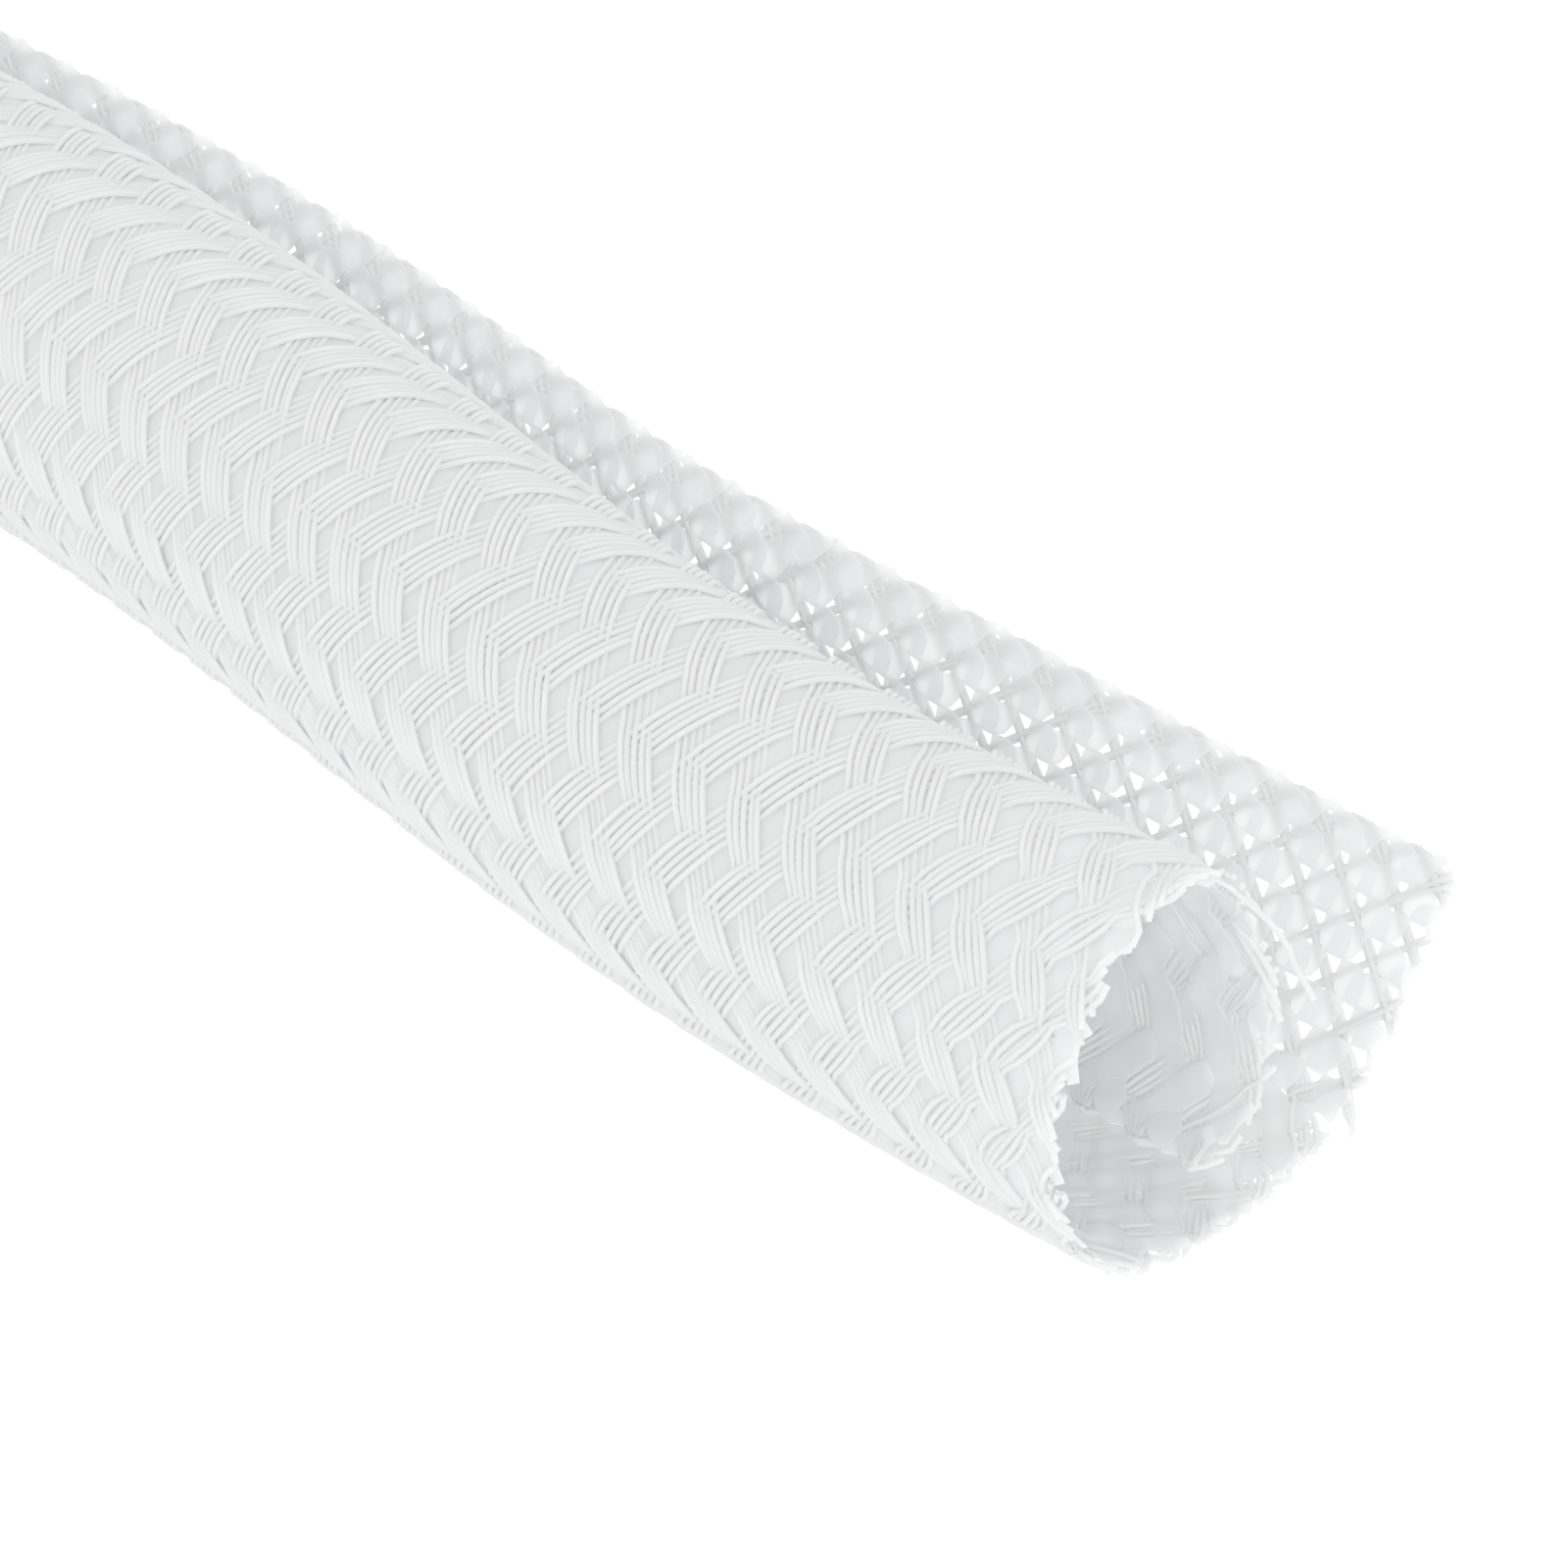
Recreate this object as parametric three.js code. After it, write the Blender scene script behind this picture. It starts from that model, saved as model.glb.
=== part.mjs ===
// A length of split braided cable sleeve, lying on its back with one cut end sprung open.
// It is one woven strip, curled across its width. In front of the bed that it lies on, the strip
// rises, rolls over the top and tucks down into the bore. Behind the bed it rises to a free edge,
// which flares away from the tucked one so that cables can go in between them.
// Millimetres, +X along the sleeve towards the sprung end, +Z up, the bed at z = 0.
import * as THREE from "three";

const { degToRad, lerp, smoothstep } = THREE.MathUtils;

// Driving dimensions
const LENGTH = 1000;
const FLAT_WIDTH = 58.5;
const WALL = 0.7;
// Facets across the strip: those of the flat bed that it lies on, and those of its bends from the
// bed to the free edge behind and to the tucked edge in front, with the degrees that each bend
// turns through where sprung and where relaxed
const BED_FACETS = 2;
const REAR_BENDS = [
  { facets: 6, sprung: 56, relaxed: 112 },
  { facets: 4, sprung: -4, relaxed: -71 },
];
const FRONT_BENDS = [
  { facets: 7, sprung: 80, relaxed: 69 },
  { facets: 7, sprung: 70, relaxed: 69 },
  { facets: 4, sprung: 89, relaxed: 60 },
  { facets: 5, sprung: 33, relaxed: 61 },
  { facets: 4, sprung: 90, relaxed: 49 },
];
// Distances from the sprung end at which the two sides of the strip are relaxed
const REAR_RELAXED_FROM = 43;
const FRONT_RELAXED_FROM = 78;
// Sideways step of the sleeve as it lies, and the length next to the sprung end that it takes
const STEP_ASIDE = 7.6;
const STEP_LENGTH = 80;
// Rows of facets along the stepped run and along the straight one
const STEPPED_ROWS = 20;
const STRAIGHT_ROWS = 10;

const SLEEVE_FINISH = { color: 0xeceded, roughness: 0.5, metalness: 0 };

const facetsOf = (bends) => bends.reduce((sum, bend) => sum + bend.facets, 0);
const FACETS_ACROSS = facetsOf(REAR_BENDS) + BED_FACETS + facetsOf(FRONT_BENDS);
const FACET_WIDTH = FLAT_WIDTH / FACETS_ACROSS;
const BED_WIDTH = BED_FACETS * FACET_WIDTH;
const REACH_BEHIND = BED_WIDTH / 2 + facetsOf(REAR_BENDS) * FACET_WIDTH;

/** Place and slope of the strip's middle layer, so far across it from the bed's middle. */
function curl(across, fromEnd) {
  const behind = across > 0;
  const relaxedFrom = behind ? REAR_RELAXED_FROM : FRONT_RELAXED_FROM;
  const relaxing = smoothstep(fromEnd, 0, relaxedFrom);
  let away = Math.min(Math.abs(across), BED_WIDTH / 2);
  let up = WALL / 2;
  let slope = 0;
  let left = Math.abs(across) - away;
  for (const bend of behind ? REAR_BENDS : FRONT_BENDS) {
    const width = bend.facets * FACET_WIDTH;
    const taken = Math.min(left, width);
    const turn = degToRad(lerp(bend.sprung, bend.relaxed, relaxing));
    const halfTurn = (turn * taken) / width / 2;
    const chord = halfTurn === 0 ? taken : (taken * Math.sin(halfTurn)) / halfTurn;
    away += chord * Math.cos(slope + halfTurn);
    up += chord * Math.sin(slope + halfTurn);
    slope += 2 * halfTurn;
    left -= taken;
  }
  const side = behind ? 1 : -1;
  return { y: side * away, z: up, slope: side * slope };
}

/** Line on the floor that the sleeve follows: its place and heading, so far from the sprung end. */
function lie(fromEnd) {
  const turn = 2 * Math.PI * Math.min(fromEnd / STEP_LENGTH, 1);
  return {
    aside: (STEP_ASIDE * (turn - Math.sin(turn))) / (2 * Math.PI),
    heading: Math.atan((STEP_ASIDE / STEP_LENGTH) * (1 - Math.cos(turn))),
  };
}

/** Distance from the sprung end of a row of facets, closer together where the strip changes. */
function rowDistance(row) {
  const stepped = Math.min(row, STEPPED_ROWS) / STEPPED_ROWS;
  const straight = Math.max(row - STEPPED_ROWS, 0) / STRAIGHT_ROWS;
  return stepped * STEP_LENGTH + straight * (LENGTH - STEP_LENGTH);
}

/** A flat strip of box facets, each of its corners moved to where the curled sleeve has it. */
function sleeveGeometry() {
  const rows = STEPPED_ROWS + STRAIGHT_ROWS;
  const geometry = new THREE.BoxGeometry(rows, FLAT_WIDTH, WALL, rows, FACETS_ACROSS, 1);
  const corners = geometry.attributes.position;
  for (let index = 0; index < corners.count; index += 1) {
    const fromEnd = rowDistance(rows / 2 - corners.getX(index));
    const across = corners.getY(index) + REACH_BEHIND - FLAT_WIDTH / 2;
    const inwards = corners.getZ(index);
    const { y, z, slope } = curl(across, fromEnd);
    const { aside, heading } = lie(fromEnd);
    const sideways = y - inwards * Math.sin(slope);
    corners.setXYZ(
      index,
      sideways * Math.sin(heading) - fromEnd,
      sideways * Math.cos(heading) + aside,
      z + inwards * Math.cos(slope),
    );
  }
  geometry.computeVertexNormals();
  geometry.computeBoundingBox();
  const middle = geometry.boundingBox.getCenter(new THREE.Vector3());
  return geometry.translate(-middle.x, -middle.y, 0);
}

const sleeve = new THREE.Mesh(sleeveGeometry(), new THREE.MeshStandardMaterial(SLEEVE_FINISH));
sleeve.name = "sleeve";

const braidedCableSleeve = new THREE.Group();
braidedCableSleeve.add(sleeve);

export default braidedCableSleeve;
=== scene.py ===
"""Dresses a length of split braided cable sleeve: crossing bundles of filament and flat yarns."""

import logging
import math
from dataclasses import dataclass, field
from enum import Enum

import bpy
import numpy as np
from mathutils import Matrix, Vector

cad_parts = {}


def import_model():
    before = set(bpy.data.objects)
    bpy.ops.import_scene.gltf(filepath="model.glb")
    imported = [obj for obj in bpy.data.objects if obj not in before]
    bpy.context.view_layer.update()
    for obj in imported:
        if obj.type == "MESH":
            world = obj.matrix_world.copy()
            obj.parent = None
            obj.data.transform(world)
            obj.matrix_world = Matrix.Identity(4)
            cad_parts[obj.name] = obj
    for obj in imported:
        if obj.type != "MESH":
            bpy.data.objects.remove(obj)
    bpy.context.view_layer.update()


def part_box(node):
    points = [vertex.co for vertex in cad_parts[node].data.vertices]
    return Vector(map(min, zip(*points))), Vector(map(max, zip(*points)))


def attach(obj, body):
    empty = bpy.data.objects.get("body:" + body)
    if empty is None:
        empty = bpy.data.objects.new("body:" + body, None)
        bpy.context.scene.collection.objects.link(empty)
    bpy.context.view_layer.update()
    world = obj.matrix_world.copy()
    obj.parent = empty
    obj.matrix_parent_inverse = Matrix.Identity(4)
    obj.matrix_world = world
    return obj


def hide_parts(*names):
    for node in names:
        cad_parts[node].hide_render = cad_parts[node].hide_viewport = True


Array = np.ndarray

log = logging.getLogger("braided_sleeve")

MM = 0.001
PATCHES_PER_METRE = 260.0
WEAR = 0.25
FIBRE_NOISE_SCALE = 3.0
FIBRE_STRETCH = 0.35
BUMP_STRENGTH = 0.6
SHEEN_ROUGHNESS = 0.4
INWARD_STEP = 0.1
FEWEST_POINTS = 3


@dataclass(frozen=True)
class Bend:
    """One bend across the strip: its width in facets, and its degrees where sprung and relaxed."""

    facets: int
    sprung: float
    relaxed: float


def smooth_share(value: Array, end: float) -> Array:
    """Makes a smooth step from 0 at zero to 1 at the end value."""
    share = np.clip(value / end, 0.0, 1.0)
    return share * share * (3.0 - 2.0 * share)


@dataclass
class CurledStrip:
    """The woven strip as it lies: curled across its width and stepped aside along its length.

    Places on it are given in mm as the distance from the sprung end, the distance across from the
    middle of the bed, positive towards the free rear edge, and the height above its middle layer,
    positive towards the bore.
    """

    length: float = 1000.0
    flat_width: float = 58.5
    wall: float = 0.7
    looked_at_along: int = 81
    looked_at_across: int = 118
    bed_facets: int = 2
    rear: tuple[Bend, ...] = (Bend(6, 56.0, 112.0), Bend(4, -4.0, -71.0))
    front: tuple[Bend, ...] = (
        Bend(7, 80.0, 69.0),
        Bend(7, 70.0, 69.0),
        Bend(4, 89.0, 60.0),
        Bend(5, 33.0, 61.0),
        Bend(4, 90.0, 49.0),
    )
    rear_relaxed_from: float = 43.0
    front_relaxed_from: float = 78.0
    step_aside: float = 7.6
    step_length: float = 80.0
    shift: Array = field(default_factory=lambda: np.zeros(3))

    def __post_init__(self) -> None:
        """Finds the two edges, and the shift that puts the strip where the CAD sleeve is."""
        behind = sum(bend.facets for bend in self.rear)
        in_front = sum(bend.facets for bend in self.front)
        self.facet_width = self.flat_width / (behind + self.bed_facets + in_front)
        self.bed_width = self.bed_facets * self.facet_width
        self.rear_edge = self.bed_width / 2 + behind * self.facet_width
        self.front_edge = self.rear_edge - self.flat_width
        from_end, across = np.meshgrid(
            np.linspace(0.0, self.step_length, self.looked_at_along),
            np.linspace(self.front_edge, self.rear_edge, self.looked_at_across),
        )
        outside = np.full(from_end.size, -self.wall / 2)
        points = self.place(from_end.ravel(), across.ravel(), outside)
        lowest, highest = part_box("sleeve")
        self.shift = np.array(
            [highest.x / MM, lowest.y / MM - points[:, 1].min() / MM, 0.0]
        )

    def curl(self, from_end: Array, across: Array) -> tuple[Array, Array, Array]:
        """Works out the strip's section.

        Args:
            from_end: distances from the sprung end.
            across: distances across from the middle of the bed.

        Returns:
            The sideways place, the height and the slope of the middle layer.
        """
        sideways = np.empty_like(across)
        height = np.empty_like(across)
        slope = np.empty_like(across)
        for side, bends, relaxed_from in (
            (1.0, self.rear, self.rear_relaxed_from),
            (-1.0, self.front, self.front_relaxed_from),
        ):
            here = (across > 0.0) == (side > 0.0)
            relaxing = smooth_share(from_end[here], relaxed_from)
            away = np.minimum(np.abs(across[here]), self.bed_width / 2)
            left = np.abs(across[here]) - away
            up = np.full(away.shape, self.wall / 2)
            angle = np.zeros(away.shape)
            for bend in bends:
                width = bend.facets * self.facet_width
                taken = np.minimum(left, width)
                turn = np.radians(bend.sprung + (bend.relaxed - bend.sprung) * relaxing)
                half_turn = turn * taken / width / 2
                chord = taken * np.sinc(half_turn / np.pi)
                away = away + chord * np.cos(angle + half_turn)
                up = up + chord * np.sin(angle + half_turn)
                angle = angle + 2 * half_turn
                left = left - taken
            sideways[here] = side * away
            height[here] = up
            slope[here] = side * angle
        return sideways, height, slope

    def place(self, from_end: Array, across: Array, above: Array) -> Array:
        """Finds points of the strip.

        Args:
            from_end: distances from the sprung end.
            across: distances across from the middle of the bed.
            above: heights above the middle layer, towards the bore.

        Returns:
            One row of x, y and z in metres for each point.
        """
        sideways, height, slope = self.curl(from_end, across)
        sideways = sideways - above * np.sin(slope)
        height = height + above * np.cos(slope)
        turn = 2 * np.pi * np.clip(from_end / self.step_length, 0.0, 1.0)
        aside = self.step_aside * (turn - np.sin(turn)) / (2 * np.pi)
        heading = np.arctan(self.step_aside / self.step_length * (1 - np.cos(turn)))
        points = np.stack(
            [
                sideways * np.sin(heading) - from_end,
                sideways * np.cos(heading) + aside,
                height,
            ],
            axis=-1,
        )
        return (points + self.shift) * MM


class Lay(Enum):
    """The two ways that strands cross the strip, by the sign of their slope."""

    RISING = 1
    FALLING = -1


@dataclass(frozen=True)
class Braid:
    """The interlacing of the strip, two over and two under, in mm.

    The strands of the two lays cross in rows along the sleeve. The rows are close along the free
    rear edge and open out towards the roll at the front. Strands of one kind turn back into their
    own kind at both edges, so the number of rows is even.
    """

    repeat: float = 2.58
    row_count: int = 66
    opening: float = 2.02
    opened_at: float = 40.0
    phase: float = 0.69
    rise: float = 0.105
    crispness: float = 1.3
    turn_back: float = 0.3
    rows_of_turns: float = 2.0
    crossed_at: float = 1.5
    fineness: int = 20

    def counted(self, strip: CurledStrip, line: Array) -> Array:
        """Counts crossing rows from the rear edge, less the two that its turns take.

        Args:
            strip: the strip that is woven.
            line: distances across from the middle of the bed.

        Returns:
            The count at each of them.
        """
        widths = []
        for from_edge in (strip.rear_edge - line, strip.rear_edge - strip.front_edge):
            opening = (self.opening - 1.0) / self.opened_at
            eased = np.minimum(from_edge, self.opened_at)
            beyond = (from_edge - eased) / self.opening
            widths.append(np.log1p(opening * eased) / opening + beyond)
        return self.row_count * widths[0] / widths[1] - self.rows_of_turns

    def run(self, strip: CurledStrip, per_row: float) -> "Run":
        """Lays the line that every strand follows, from the front edge to the rear one.

        Args:
            strip: the strip that the strand is in.
            per_row: number of points for each crossing row.

        Returns:
            The line's distances across, its rows and its slant.
        """
        fine = np.linspace(strip.front_edge, strip.rear_edge, self.fineness * self.row_count)
        counted = self.counted(strip, fine)
        rows = np.linspace(counted[0], counted[-1], round(self.row_count * per_row) + 1)
        line = np.interp(-rows, -counted, fine)
        lead = -np.gradient(line, rows) / (self.repeat / 4)
        to_rear = np.hypot(strip.rear_edge - line, self.turn_back)
        to_front = np.hypot(line - strip.front_edge, self.turn_back)
        across = np.where(
            line > 0, strip.rear_edge - to_rear, strip.front_edge + to_front
        )
        wave = np.cos(np.pi / 2 * (rows - self.crossed_at))
        height = np.tanh(self.crispness * wave) / math.tanh(self.crispness)
        return Run(across, rows * self.repeat / 4, lead / np.hypot(lead, 1.0), height)


@dataclass(frozen=True)
class Run:
    """The line that every strand follows.

    It holds the distances across, how far along the sleeve the strand has come, the sine of its
    angle with the sleeve, and which side of the strip it is on, from -1 to 1.
    """

    across: Array
    along: Array
    slant: Array
    side: Array

    def from_end(self, lay: Lay, start: float) -> Array:
        """Distances from the sprung end of a strand of one lay."""
        return start - lay.value * self.along

    def above(self, lay: Lay, rise: float | Array) -> Array:
        """Heights of a strand of one lay above the middle layer."""
        return -lay.value * rise * self.side


@dataclass
class MeshParts:
    """Corners, faces, face coordinates and tones that are gathered into one mesh."""

    corners: list[Array] = field(default_factory=list)
    faces: list[Array] = field(default_factory=list)
    coordinates: list[Array] = field(default_factory=list)
    tones: list[Array] = field(default_factory=list)
    count: int = 0

    def add_sweep(
        self, rings: Array, distances: Array, tone: float, closed: bool = True
    ) -> None:
        """Adds a strand whose rings of corners are joined one to the next.

        Args:
            rings: corners by ring, place in the ring and axis.
            distances: distance along the strand of each ring, in mm.
            tone: shade of this strand, from 0 to 1.
            closed: whether the last corner of each ring is joined to the first.
        """
        lengths, corners = rings.shape[:2]
        sides = corners if closed else corners - 1
        index = np.arange(lengths * corners).reshape(lengths, corners) + self.count
        ahead = np.roll(index, -1, axis=1)[:, :sides]
        index = index[:, :sides]
        quads = np.stack([index[:-1], index[1:], ahead[1:], ahead[:-1]], axis=-1)
        around = np.arange(sides + 1) / sides
        along = distances[:, None]
        left, right = around[None, :-1], around[None, 1:]
        shape = (lengths - 1, sides)
        mapped = np.stack(
            [
                np.stack([np.broadcast_to(left, shape), np.broadcast_to(along[:-1], shape)], -1),
                np.stack([np.broadcast_to(left, shape), np.broadcast_to(along[1:], shape)], -1),
                np.stack([np.broadcast_to(right, shape), np.broadcast_to(along[1:], shape)], -1),
                np.stack([np.broadcast_to(right, shape), np.broadcast_to(along[:-1], shape)], -1),
            ],
            axis=2,
        )
        self.corners.append(rings.reshape(-1, 3))
        self.faces.append(quads.reshape(-1, 4))
        self.coordinates.append(mapped.reshape(-1, 2))
        self.tones.append(np.full(lengths * corners, tone))
        self.count += lengths * corners

    def build(
        self, name: str, material: bpy.types.Material, sharp_from: float = 180.0
    ) -> bpy.types.Object:
        """Makes the gathered mesh.

        Args:
            name: name of the piece.
            material: finish of the piece.
            sharp_from: the angle in degrees from which the edge between two faces is sharp.

        Returns:
            The new object, shaded and dressed.
        """
        corners = np.concatenate(self.corners)
        faces = np.concatenate(self.faces)
        mesh = bpy.data.meshes.new(name)
        mesh.vertices.add(len(corners))
        mesh.vertices.foreach_set("co", corners.astype(np.float32).ravel())
        mesh.loops.add(faces.size)
        mesh.loops.foreach_set("vertex_index", faces.astype(np.int32).ravel())
        mesh.polygons.add(len(faces))
        mesh.polygons.foreach_set("loop_start", np.arange(0, faces.size, 4, dtype=np.int32))
        mesh.polygons.foreach_set("use_smooth", np.ones(len(faces), dtype=bool))
        layer = mesh.uv_layers.new(name="strand")
        layer.data.foreach_set("uv", np.concatenate(self.coordinates).astype(np.float32).ravel())
        tone = mesh.attributes.new(name="tone", type="FLOAT", domain="POINT")
        tone.data.foreach_set("value", np.concatenate(self.tones).astype(np.float32))
        mesh.update(calc_edges=True)
        mesh.set_sharp_from_angle(angle=math.radians(sharp_from))
        mesh.materials.append(material)
        piece = bpy.data.objects.new(name, mesh)
        bpy.context.scene.collection.objects.link(piece)
        return piece


def sweep(centre: Array, inward: Array, profile: Array) -> tuple[Array, Array]:
    """Carries a flat profile along a line.

    Args:
        centre: points of the line in metres.
        inward: points a little further towards the bore, which give the profile its up.
        profile: sideways and upwards places of the profile's corners in mm, by point and corner.

    Returns:
        The rings of corners in metres and the distances along the line in mm.
    """
    tangent = np.gradient(centre, axis=0)
    tangent /= np.linalg.norm(tangent, axis=1, keepdims=True)
    up = inward - centre
    up -= tangent * np.sum(up * tangent, axis=1, keepdims=True)
    up /= np.linalg.norm(up, axis=1, keepdims=True)
    side = np.cross(tangent, up)
    rings = (
        centre[:, None]
        + side[:, None] * profile[..., :1] * MM
        + up[:, None] * profile[..., 1:] * MM
    )
    gaps = np.linalg.norm(np.diff(centre, axis=0), axis=1)
    return rings, np.concatenate([[0.0], np.cumsum(gaps)]) / MM


def oval(sides: int, width: Array, thickness: float, power: float) -> Array:
    """A rounded flat profile.

    Args:
        sides: number of corners.
        width: full width at each point of the strand, in mm.
        thickness: full thickness in mm.
        power: 1 for an ellipse, less for a flatter and squarer shape.

    Returns:
        Sideways and upwards places by point and corner.
    """
    angle = (np.arange(sides) + 0.5) * 2 * np.pi / sides
    sideways = np.sign(np.cos(angle)) * np.abs(np.cos(angle)) ** power
    upwards = np.sign(np.sin(angle)) * np.abs(np.sin(angle)) ** power
    return np.stack(
        [
            width[:, None] / 2 * sideways,
            np.broadcast_to(thickness / 2 * upwards, (len(width), sides)),
        ],
        axis=-1,
    )


def float_input(group: bpy.types.NodeTree, name: str, value: float) -> None:
    """Gives a node group a number input of this name, with this value to start from."""
    socket = group.interface.new_socket(name=name, in_out="INPUT", socket_type="NodeSocketFloat")
    socket.default_value = value


def strand_shade_group() -> bpy.types.NodeTree:
    """Makes the node group that varies shade and gloss from strand to strand.

    Returns:
        A group with the inputs Variation and Base Roughness, and the outputs Shade and Roughness.
    """
    group = bpy.data.node_groups.new("strand_shade", "ShaderNodeTree")
    float_input(group, "Variation", 0.05)
    float_input(group, "Base Roughness", 0.4)
    group.interface.new_socket(name="Shade", in_out="OUTPUT", socket_type="NodeSocketFloat")
    group.interface.new_socket(name="Roughness", in_out="OUTPUT", socket_type="NodeSocketFloat")
    nodes, links = group.nodes, group.links
    inputs = nodes.new("NodeGroupInput")
    outputs = nodes.new("NodeGroupOutput")
    tone = nodes.new("ShaderNodeAttribute")
    tone.attribute_name = "tone"
    patches = nodes.new("ShaderNodeTexNoise")
    patches.inputs["Scale"].default_value = PATCHES_PER_METRE
    patches.inputs["Detail"].default_value = 3.0
    place = nodes.new("ShaderNodeTexCoord")
    links.new(place.outputs["Object"], patches.inputs["Vector"])
    blend = nodes.new("ShaderNodeMath")
    blend.operation = "MULTIPLY"
    links.new(tone.outputs["Fac"], blend.inputs[0])
    links.new(patches.outputs["Fac"], blend.inputs[1])
    darken = nodes.new("ShaderNodeMath")
    darken.operation = "MULTIPLY"
    links.new(blend.outputs[0], darken.inputs[0])
    links.new(inputs.outputs["Variation"], darken.inputs[1])
    shade = nodes.new("ShaderNodeMath")
    shade.operation = "SUBTRACT"
    shade.inputs[0].default_value = 1.0
    links.new(darken.outputs[0], shade.inputs[1])
    links.new(shade.outputs[0], outputs.inputs["Shade"])
    worn = nodes.new("ShaderNodeMath")
    worn.operation = "MULTIPLY_ADD"
    worn.inputs[1].default_value = WEAR
    links.new(patches.outputs["Fac"], worn.inputs[0])
    links.new(inputs.outputs["Base Roughness"], worn.inputs[2])
    links.new(worn.outputs[0], outputs.inputs["Roughness"])
    return group


def fibre_ridge_group() -> bpy.types.NodeTree:
    """Makes the node group that raises lengthwise ridges across a strand.

    Returns:
        A group with the inputs Ridges and Raggedness, and the output Height.
    """
    group = bpy.data.node_groups.new("fibre_ridges", "ShaderNodeTree")
    float_input(group, "Ridges", 4.0)
    float_input(group, "Raggedness", 0.5)
    group.interface.new_socket(name="Height", in_out="OUTPUT", socket_type="NodeSocketFloat")
    nodes, links = group.nodes, group.links
    inputs = nodes.new("NodeGroupInput")
    outputs = nodes.new("NodeGroupOutput")
    strand = nodes.new("ShaderNodeUVMap")
    strand.uv_map = "strand"
    split = nodes.new("ShaderNodeSeparateXYZ")
    links.new(strand.outputs["UV"], split.inputs[0])
    across = nodes.new("ShaderNodeMath")
    across.operation = "MULTIPLY"
    links.new(split.outputs["X"], across.inputs[0])
    links.new(inputs.outputs["Ridges"], across.inputs[1])
    stretched = nodes.new("ShaderNodeCombineXYZ")
    slow = nodes.new("ShaderNodeMath")
    slow.operation = "MULTIPLY"
    slow.inputs[1].default_value = FIBRE_STRETCH
    links.new(split.outputs["Y"], slow.inputs[0])
    links.new(across.outputs[0], stretched.inputs["X"])
    links.new(slow.outputs[0], stretched.inputs["Y"])
    rough = nodes.new("ShaderNodeTexNoise")
    rough.inputs["Scale"].default_value = FIBRE_NOISE_SCALE
    rough.inputs["Detail"].default_value = 2.0
    links.new(stretched.outputs[0], rough.inputs["Vector"])
    wave = nodes.new("ShaderNodeMath")
    wave.operation = "PINGPONG"
    wave.inputs[1].default_value = 0.5
    links.new(across.outputs[0], wave.inputs[0])
    height = nodes.new("ShaderNodeMix")
    links.new(inputs.outputs["Raggedness"], height.inputs["Factor"])
    links.new(wave.outputs[0], height.inputs["A"])
    links.new(rough.outputs["Fac"], height.inputs["B"])
    links.new(height.outputs["Result"], outputs.inputs["Height"])
    return group


@dataclass(frozen=True)
class StrandFinish:
    """A white polyester finish: colour, gloss, and the ridges of what the strand is made of."""

    name: str
    colour: tuple[float, float, float]
    roughness: float
    sheen: float
    variation: float
    ridges: float
    raggedness: float
    relief: float
    refraction: float = 1.57
    shine: float = 0.5
    translucence: float = 0.0

    def material(self) -> bpy.types.Material:
        """Builds the finish as a node material.

        Returns:
            The material, made once for each finish.
        """
        made = bpy.data.materials.get(self.name)
        if made is not None:
            return made
        made = bpy.data.materials.new(self.name)
        made.use_nodes = True
        nodes, links = made.node_tree.nodes, made.node_tree.links
        shader = nodes["Principled BSDF"]
        shader.inputs["IOR"].default_value = self.refraction
        shader.inputs["Specular IOR Level"].default_value = self.shine
        shader.inputs["Sheen Weight"].default_value = self.sheen
        shader.inputs["Sheen Roughness"].default_value = SHEEN_ROUGHNESS
        shade = nodes.new("ShaderNodeGroup")
        shade.node_tree = bpy.data.node_groups.get("strand_shade") or strand_shade_group()
        shade.inputs["Variation"].default_value = self.variation
        shade.inputs["Base Roughness"].default_value = self.roughness
        tint = nodes.new("ShaderNodeVectorMath")
        tint.operation = "SCALE"
        tint.inputs[0].default_value = self.colour
        links.new(shade.outputs["Shade"], tint.inputs["Scale"])
        links.new(tint.outputs[0], shader.inputs["Base Color"])
        links.new(shade.outputs["Roughness"], shader.inputs["Roughness"])
        if self.translucence > 0.0:
            through = nodes.new("ShaderNodeBsdfTranslucent")
            links.new(tint.outputs[0], through.inputs["Color"])
            share = nodes.new("ShaderNodeMixShader")
            share.inputs["Fac"].default_value = self.translucence
            links.new(shader.outputs["BSDF"], share.inputs[1])
            links.new(through.outputs["BSDF"], share.inputs[2])
            links.new(share.outputs["Shader"], nodes["Material Output"].inputs["Surface"])
        if self.relief > 0.0:
            ridges = nodes.new("ShaderNodeGroup")
            ridges.node_tree = bpy.data.node_groups.get("fibre_ridges") or fibre_ridge_group()
            ridges.inputs["Ridges"].default_value = self.ridges
            ridges.inputs["Raggedness"].default_value = self.raggedness
            bump = nodes.new("ShaderNodeBump")
            bump.inputs["Strength"].default_value = BUMP_STRENGTH
            bump.inputs["Distance"].default_value = self.relief * MM
            links.new(ridges.outputs["Height"], bump.inputs["Height"])
            links.new(bump.outputs["Normal"], shader.inputs["Normal"])
        return made


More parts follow.
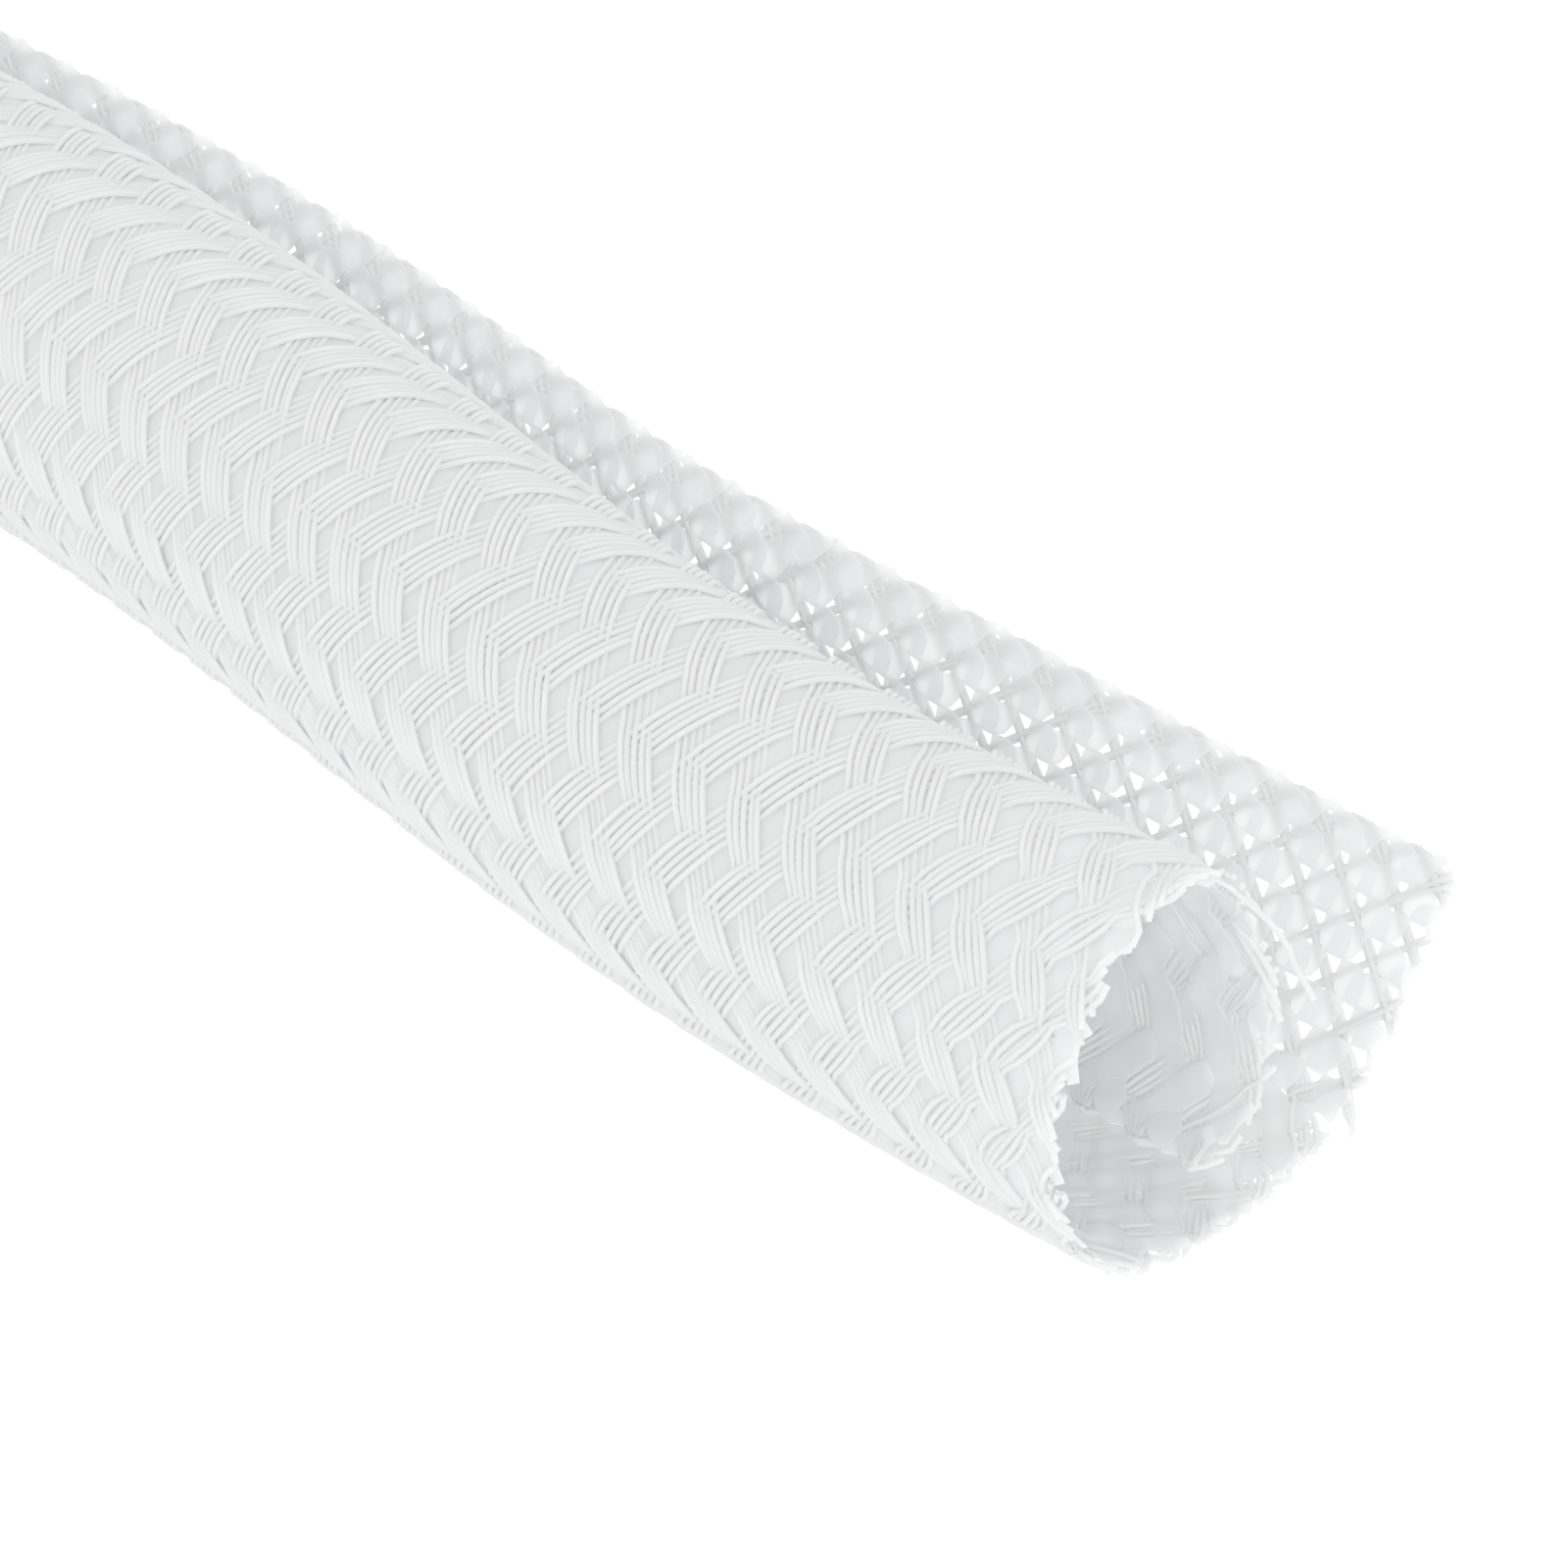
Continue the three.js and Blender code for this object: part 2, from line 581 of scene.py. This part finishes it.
CLEAR_FILAMENT = StrandFinish(
    name="clear_filament",
    colour=(0.85, 0.855, 0.86),
    roughness=0.1,
    sheen=0.0,
    variation=0.05,
    ridges=1.0,
    raggedness=0.0,
    relief=0.0,
    shine=0.7,
    translucence=0.6,
)
SOFT_YARN = StrandFinish(
    name="soft_yarn",
    colour=(0.875, 0.88, 0.885),
    roughness=0.45,
    sheen=0.2,
    variation=0.08,
    ridges=14.0,
    raggedness=0.8,
    relief=0.04,
    translucence=0.7,
)
FILAMENT_RIBBON = StrandFinish(
    name="filament_ribbon",
    colour=(0.875, 0.88, 0.885),
    roughness=0.2,
    sheen=0.0,
    variation=0.06,
    ridges=8.0,
    raggedness=0.1,
    relief=0.12,
    translucence=0.3,
)


def carry(piece: bpy.types.Object) -> None:
    """Makes a piece ride with the sleeve and stand for its solid.

    Args:
        piece: the finished piece of the braid.
    """
    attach(piece, "root")
    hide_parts("sleeve")
    triangles = 2 * len(piece.data.polygons)
    log.info("%s: %d triangles", piece.name, triangles)


@dataclass
class FineBraid:
    """The strip near the sprung end, with each filament and yarn as its own strand."""

    strip: CurledStrip
    braid: Braid
    length: float = 88.0
    points_per_row: float = 2.0
    filaments: int = 5
    filament_diameter: float = 0.24
    filament_sides: int = 5
    spread_spacing: float = 0.29
    squeezed_spacing: float = 0.04
    yarn_sides: int = 6
    yarn_thickness: float = 0.13
    outside_yarn_width: float = 1.5
    bore_yarn_width: float = 1.6
    squeezed_yarn_width: float = 0.16
    flat_behind: float = 0.92
    layers_apart: float = 0.17
    yarn_rise_share: float = 0.5
    yarn_squareness: float = 0.7
    sharp_yarn_side: float = 60.0
    yarn_end_taper: float = 0.9
    yarn_end_share: float = 0.4
    bundle_stray: float = 0.14
    filament_stray: float = 0.04
    yarn_stray: float = 0.2
    filament_unevenness: float = 0.012
    yarn_unevenness: float = 0.01
    stacking: float = 0.12
    slow_wander: float = 5.1
    quick_wander: float = 1.9
    sprung_openness: float = 0.6
    sprung_fades_over: float = 8.0
    lip: float = 2.5
    gathered_at_edge: float = 1.1
    gathered_share: float = 0.3
    filament_fray: float = 0.1
    yarn_fray: float = 0.08
    uneven_cut: float = 0.15
    loose_share: float = 0.03
    loose_length: float = 3.5
    loose_lift: float = 3.0
    frayed_length: float = 5.0
    seed: int = 7

    def __post_init__(self) -> None:
        """Starts the strands' own chance and lays the line that they follow."""
        self.chance = np.random.default_rng(self.seed)
        self.run = self.braid.run(self.strip, self.points_per_row)

    def starts(self, lay: Lay, offset: float) -> Array:
        """Finds where the strands of one kind begin, also those that enter or leave at the ends.

        Args:
            lay: the way that the strands cross the strip.
            offset: how far along from the bundles they lie.

        Returns:
            The distance from the sprung end of each start.
        """
        reach = self.run.along * -lay.value
        first = np.floor((-reach.max() - self.uneven_cut) / self.braid.repeat)
        last = np.ceil((self.length - reach.min()) / self.braid.repeat)
        return np.arange(first, last + 1) * self.braid.repeat + self.braid.phase + offset

    def gathering(self) -> Array:
        """Narrows a strand where it turns back at an edge.

        Returns:
            The share of its width that it keeps at each point.
        """
        to_edge = np.minimum(
            self.strip.rear_edge - self.run.across, self.run.across - self.strip.front_edge
        )
        return np.clip(to_edge / self.gathered_at_edge, self.gathered_share, 1.0)

    def behind(self) -> Array:
        """Share from 0 on the bed to 1 on the wall behind it, where the weave lies flat."""
        return smooth_share(self.run.across - self.strip.bed_width, self.strip.rear_edge / 2)

    def rise(self) -> Array:
        """How far strands rise above the middle layer."""
        return self.braid.rise * (1.0 - self.flat_behind * self.behind())

    def openness(self, from_end: Array) -> Array:
        """Finds how far strands draw together where they change sides.

        Args:
            from_end: distances from the sprung end.

        Returns:
            A share from 0 to 1 at each point.
        """
        faded = np.exp(-np.maximum(from_end, 0.0) / self.sprung_fades_over)
        sprung = self.sprung_openness * faded
        below_lip = np.clip((self.strip.rear_edge - self.run.across) / self.lip, 0.0, 1.0)
        return np.clip((self.behind() + sprung) * below_lip, 0.0, 1.0)

    def stray(self, amount: float) -> Array:
        """Lets a strand wander slowly and at random.

        Args:
            amount: the most that it may wander, in mm.

        Returns:
            Its wander at each point.
        """
        phases = self.chance.uniform(0.0, 2 * np.pi, 2)
        slow = np.sin(self.run.across / self.slow_wander + phases[0])
        quick = np.sin(self.run.across / self.quick_wander + phases[1])
        return amount * (slow + quick) / 2

    def add(
        self,
        parts: MeshParts,
        from_end: Array,
        above: Array,
        profile: Array,
        fray: float,
    ) -> None:
        """Cuts one strand off at the two ends of the fine part, frays it and adds it.

        Args:
            parts: the mesh that is being gathered.
            from_end: its distances from the sprung end.
            above: its heights above the middle layer.
            profile: its section at each point.
            fray: how far its cut end may stand away from the strip, in mm.
        """
        cut = self.chance.uniform(-self.uneven_cut, self.uneven_cut)
        lift, drift = self.chance.normal(0.0, fray, 2)
        if self.chance.uniform() < self.loose_share:
            loose = self.chance.uniform()
            cut -= loose * self.loose_length
            lift *= 1.0 + self.loose_lift * loose
        kept = (from_end > cut) & (from_end < self.length)
        if kept.sum() < FEWEST_POINTS:
            return
        from_end, above, profile = from_end[kept], above[kept], profile[kept]
        frayed = np.clip(1.0 - (from_end - cut) / self.frayed_length, 0.0, 1.0) ** 2
        across = self.run.across[kept] + drift * frayed
        above = above + lift * frayed
        centre = self.strip.place(from_end, across, above)
        inward = self.strip.place(from_end, across, above + INWARD_STEP)
        sunk = np.minimum(centre[:, 2] - self.filament_diameter / 2 * MM, 0.0)
        centre[:, 2] -= sunk
        inward[:, 2] -= sunk
        rings, distances = sweep(centre, inward, profile)
        parts.add_sweep(rings, distances, self.chance.uniform())

    def add_bundle(self, parts: MeshParts, lay: Lay, start: float) -> None:
        """Adds the filaments of one bundle side by side.

        Args:
            parts: the mesh that is being gathered.
            lay: the way that the bundle crosses the strip.
            start: where along the sleeve it starts.
        """
        from_end = self.run.from_end(lay, start) + self.stray(self.bundle_stray)
        drawn_in = np.maximum(1.0 - np.abs(self.run.side), self.behind())
        squeezed = self.openness(from_end) * drawn_in
        spacing = self.spread_spacing + (self.squeezed_spacing - self.spread_spacing) * squeezed
        spacing = spacing * self.gathering()
        for index in range(self.filaments):
            place = index - (self.filaments - 1) / 2
            aside = place * spacing / self.run.slant + self.stray(self.filament_stray)
            uneven = self.chance.normal(0.0, self.filament_unevenness)
            above = self.run.above(lay, self.rise()) + uneven
            above = above - self.layers_apart / 2
            above = above + (index % 2 - 0.5) * self.stacking * squeezed
            width = np.full(len(above), self.filament_diameter)
            profile = oval(self.filament_sides, width, self.filament_diameter, 1.0)
            self.add(parts, from_end + aside, above, profile, self.filament_fray)

    def add_yarn(self, parts: MeshParts, lay: Lay, start: float) -> None:
        """Adds one flat yarn, spread on the bore side and drawn in where it changes sides.

        Args:
            parts: the mesh that is being gathered.
            lay: the way that the yarn crosses the strip.
            start: where along the sleeve it starts.
        """
        from_end = self.run.from_end(lay, start) + self.stray(self.bundle_stray)
        squeezed = self.openness(from_end) * (1.0 - self.run.side**2)
        bore_side = (1.0 - lay.value * self.run.side) / 2
        spread = self.bore_yarn_width - self.outside_yarn_width
        width = self.outside_yarn_width + spread * bore_side
        width = width + (self.squeezed_yarn_width - width) * squeezed
        width = (width + self.stray(self.yarn_stray) * (1.0 - squeezed)) * self.gathering()
        width = width * np.clip(from_end / self.yarn_end_taper, self.yarn_end_share, 1.0)
        rise = self.yarn_rise_share * self.rise()
        lift = self.layers_apart / 2 + self.chance.normal(0.0, self.yarn_unevenness)
        above = self.run.above(lay, rise) + lift
        profile = oval(self.yarn_sides, width, self.yarn_thickness, self.yarn_squareness)
        self.add(parts, from_end, above, profile, self.yarn_fray)

    def build(self) -> list[bpy.types.Object]:
        """Builds bundles and yarns, the bundles of each lay in two halves to stay small.

        Returns:
            The pieces.
        """
        made = []
        for lay in Lay:
            for half, starts in enumerate(np.array_split(self.starts(lay, 0.0), 2), start=1):
                parts = MeshParts()
                for start in starts:
                    self.add_bundle(parts, lay, start)
                name = f"filaments_{lay.name.lower()}_{half}"
                made.append(parts.build(name, CLEAR_FILAMENT.material()))
            parts = MeshParts()
            for start in self.starts(lay, self.braid.repeat / 2):
                self.add_yarn(parts, lay, start)
            name = f"yarns_{lay.name.lower()}"
            made.append(parts.build(name, SOFT_YARN.material(), self.sharp_yarn_side))
        return made


@dataclass
class PlainBraid:
    """The rest of the strip, where each bundle and each yarn is one crowned ribbon."""

    strip: CurledStrip
    braid: Braid
    begins: float = 88.0
    sections: int = 2
    points_per_row: float = 1.0
    bundle_width: float = 1.14
    yarn_width: float = 0.86
    crown: float = 0.09
    uneven_cut: float = 0.6
    overlap: float = 0.7
    seed: int = 11

    def __post_init__(self) -> None:
        """Starts the ribbons' own chance and lays the line that they follow."""
        self.chance = np.random.default_rng(self.seed)
        self.run = self.braid.run(self.strip, self.points_per_row)

    def add_ribbon(
        self, parts: MeshParts, lay: Lay, start: float, width: float, ends: tuple[float, float]
    ) -> None:
        """Adds one ribbon to a mesh.

        Args:
            parts: the mesh that is being gathered.
            lay: the way that the ribbon crosses the strip.
            start: where along the sleeve it starts.
            width: its width.
            ends: the distances from the sprung end that it is kept between.
        """
        from_end = self.run.from_end(lay, start)
        kept = (from_end >= ends[0]) & (from_end <= ends[1])
        if kept.sum() < FEWEST_POINTS:
            return
        from_end, across = from_end[kept], self.run.across[kept]
        above = self.run.above(lay, self.braid.rise)[kept]
        outward = np.sign(above) * self.crown
        centre = self.strip.place(from_end, across, above)
        inward = self.strip.place(from_end, across, above + INWARD_STEP)
        half = np.full(len(from_end), width / 2)
        profile = np.stack(
            [
                np.stack([-half, -outward / 2], -1),
                np.stack([np.zeros(len(half)), outward], -1),
                np.stack([half, -outward / 2], -1),
            ],
            axis=1,
        )
        rings, distances = sweep(centre, inward, profile)
        parts.add_sweep(rings, distances, self.chance.uniform(), closed=False)

    def build(self) -> list[bpy.types.Object]:
        """Builds bundles and yarns, each in sections that stay small enough.

        Returns:
            The pieces.
        """
        made = []
        reach = np.abs(self.run.along).max()
        limits = np.linspace(self.begins, self.strip.length, self.sections + 1)
        for section, (first, last) in enumerate(zip(limits[:-1], limits[1:]), start=1):
            for kind, width, offset, finish in (
                ("bundles", self.bundle_width, 0.0, FILAMENT_RIBBON),
                ("flat_yarns", self.yarn_width, self.braid.repeat / 2, SOFT_YARN),
            ):
                parts = MeshParts()
                for lay in Lay:
                    lowest = (first - reach) // self.braid.repeat
                    highest = (last + reach) // self.braid.repeat
                    count = np.arange(lowest, highest)
                    for start in count * self.braid.repeat + self.braid.phase + offset:
                        cut = last
                        if section == self.sections:
                            cut += self.chance.uniform(-self.uneven_cut, self.uneven_cut)
                        self.add_ribbon(parts, lay, start, width, (first - self.overlap, cut))
                made.append(parts.build(f"{kind}_{section}", finish.material()))
        return made


@dataclass(frozen=True)
class PhotoCamera:
    """The camera, placed from the middle of the bed at the sprung end, in mm and degrees."""

    azimuth: float = 42.8
    elevation: float = 34.6
    offset: tuple[float, float, float] = (170.07, -206.41, 203.26)
    lens: float = 220.04
    sensor: float = 36.0
    nearest: float = 0.01
    farthest: float = 100.0

    def build(self, strip: CurledStrip) -> None:
        """Places the camera and makes it the scene's own.

        Args:
            strip: the strip, whose shift says where the sprung end is.
        """
        data = bpy.data.cameras.new("camera")
        data.lens = self.lens
        data.sensor_width = self.sensor
        data.clip_start = self.nearest
        data.clip_end = self.farthest
        camera = bpy.data.objects.new("camera", data)
        bpy.context.scene.collection.objects.link(camera)
        here = Vector(strip.shift[:3]) + Vector(self.offset)
        azimuth, elevation = math.radians(self.azimuth), math.radians(self.elevation)
        ahead = Vector(
            (
                -math.sin(azimuth) * math.cos(elevation),
                math.cos(azimuth) * math.cos(elevation),
                -math.sin(elevation),
            )
        )
        right = Vector((math.cos(azimuth), math.sin(azimuth), 0.0))
        turned = Matrix((right, right.cross(ahead), -ahead)).transposed()
        camera.matrix_world = Matrix.Translation(here * MM) @ turned.to_4x4()
        bpy.context.scene.camera = camera


@dataclass(frozen=True)
class SoftLight:
    """A square soft light: where it hangs and its side in metres, and its power in watts."""

    name: str
    place: tuple[float, float, float]
    size: float
    power: float


KEY_LIGHT = SoftLight("key_light", place=(0.2, 0.3, 1.6), size=0.2, power=5.0)
FRONT_LIGHT = SoftLight("front_light", place=(1.5, -0.9, 0.7), size=0.3, power=7.0)


@dataclass(frozen=True)
class Studio:
    """A plain pale floor, a bright surround, and the place that its soft lights face."""

    floor_size: float = 40.0
    floor_colour: tuple[float, float, float] = (0.8, 0.8, 0.8)
    floor_glow: float = 0.6
    floor_roughness: float = 0.9
    surround: float = 0.95
    brightening: float = 2.5
    lit_place: tuple[float, float, float] = (0.45, 0.0, 0.0)

    def floor(self) -> None:
        """Lays the floor just under the sleeve."""
        half = self.floor_size / 2
        mesh = bpy.data.meshes.new("floor")
        corners = [(-half, -half, 0.0), (half, -half, 0.0), (half, half, 0.0), (-half, half, 0.0)]
        mesh.from_pydata(corners, [], [(0, 1, 2, 3)])
        floor = bpy.data.objects.new("floor", mesh)
        material = bpy.data.materials.new("floor_paint")
        material.use_nodes = True
        shader = material.node_tree.nodes["Principled BSDF"]
        shader.inputs["Base Color"].default_value = (*self.floor_colour, 1.0)
        shader.inputs["Roughness"].default_value = self.floor_roughness
        shader.inputs["Emission Color"].default_value = (1.0, 1.0, 1.0, 1.0)
        shader.inputs["Emission Strength"].default_value = self.floor_glow
        mesh.materials.append(material)
        bpy.context.scene.collection.objects.link(floor)

    def surroundings(self) -> None:
        """Lights everything evenly from all round."""
        world = bpy.data.worlds.new("studio")
        world.use_nodes = True
        background = world.node_tree.nodes["Background"]
        background.inputs["Color"].default_value = (1.0, 1.0, 1.0, 1.0)
        background.inputs["Strength"].default_value = self.surround
        bpy.context.scene.world = world

    def hang(self, lamp: SoftLight) -> None:
        """Hangs one soft light, facing the sprung end.

        Args:
            lamp: the light.
        """
        data = bpy.data.lights.new(lamp.name, "AREA")
        data.size = lamp.size
        data.energy = lamp.power
        light = bpy.data.objects.new(lamp.name, data)
        light.location = lamp.place
        light.rotation_mode = "QUATERNION"
        facing = Vector(self.lit_place) - Vector(lamp.place)
        light.rotation_quaternion = facing.to_track_quat("-Z", "Y")
        bpy.context.scene.collection.objects.link(light)

    def build(self) -> None:
        """Builds the floor, the surround and the lights."""
        bpy.context.scene.view_settings.view_transform = "Standard"
        bpy.context.scene.view_settings.gamma = self.brightening
        self.floor()
        self.surroundings()
        self.hang(KEY_LIGHT)
        self.hang(FRONT_LIGHT)


def main() -> None:
    """Builds the sleeve and its setting."""
    logging.basicConfig(level=logging.INFO, format="%(message)s")
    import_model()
    strip = CurledStrip()
    braid = Braid()
    PhotoCamera().build(strip)
    Studio().build()
    for part in (FineBraid(strip, braid), PlainBraid(strip, braid)):
        for piece in part.build():
            carry(piece)


if __name__ == "__main__":
    main()
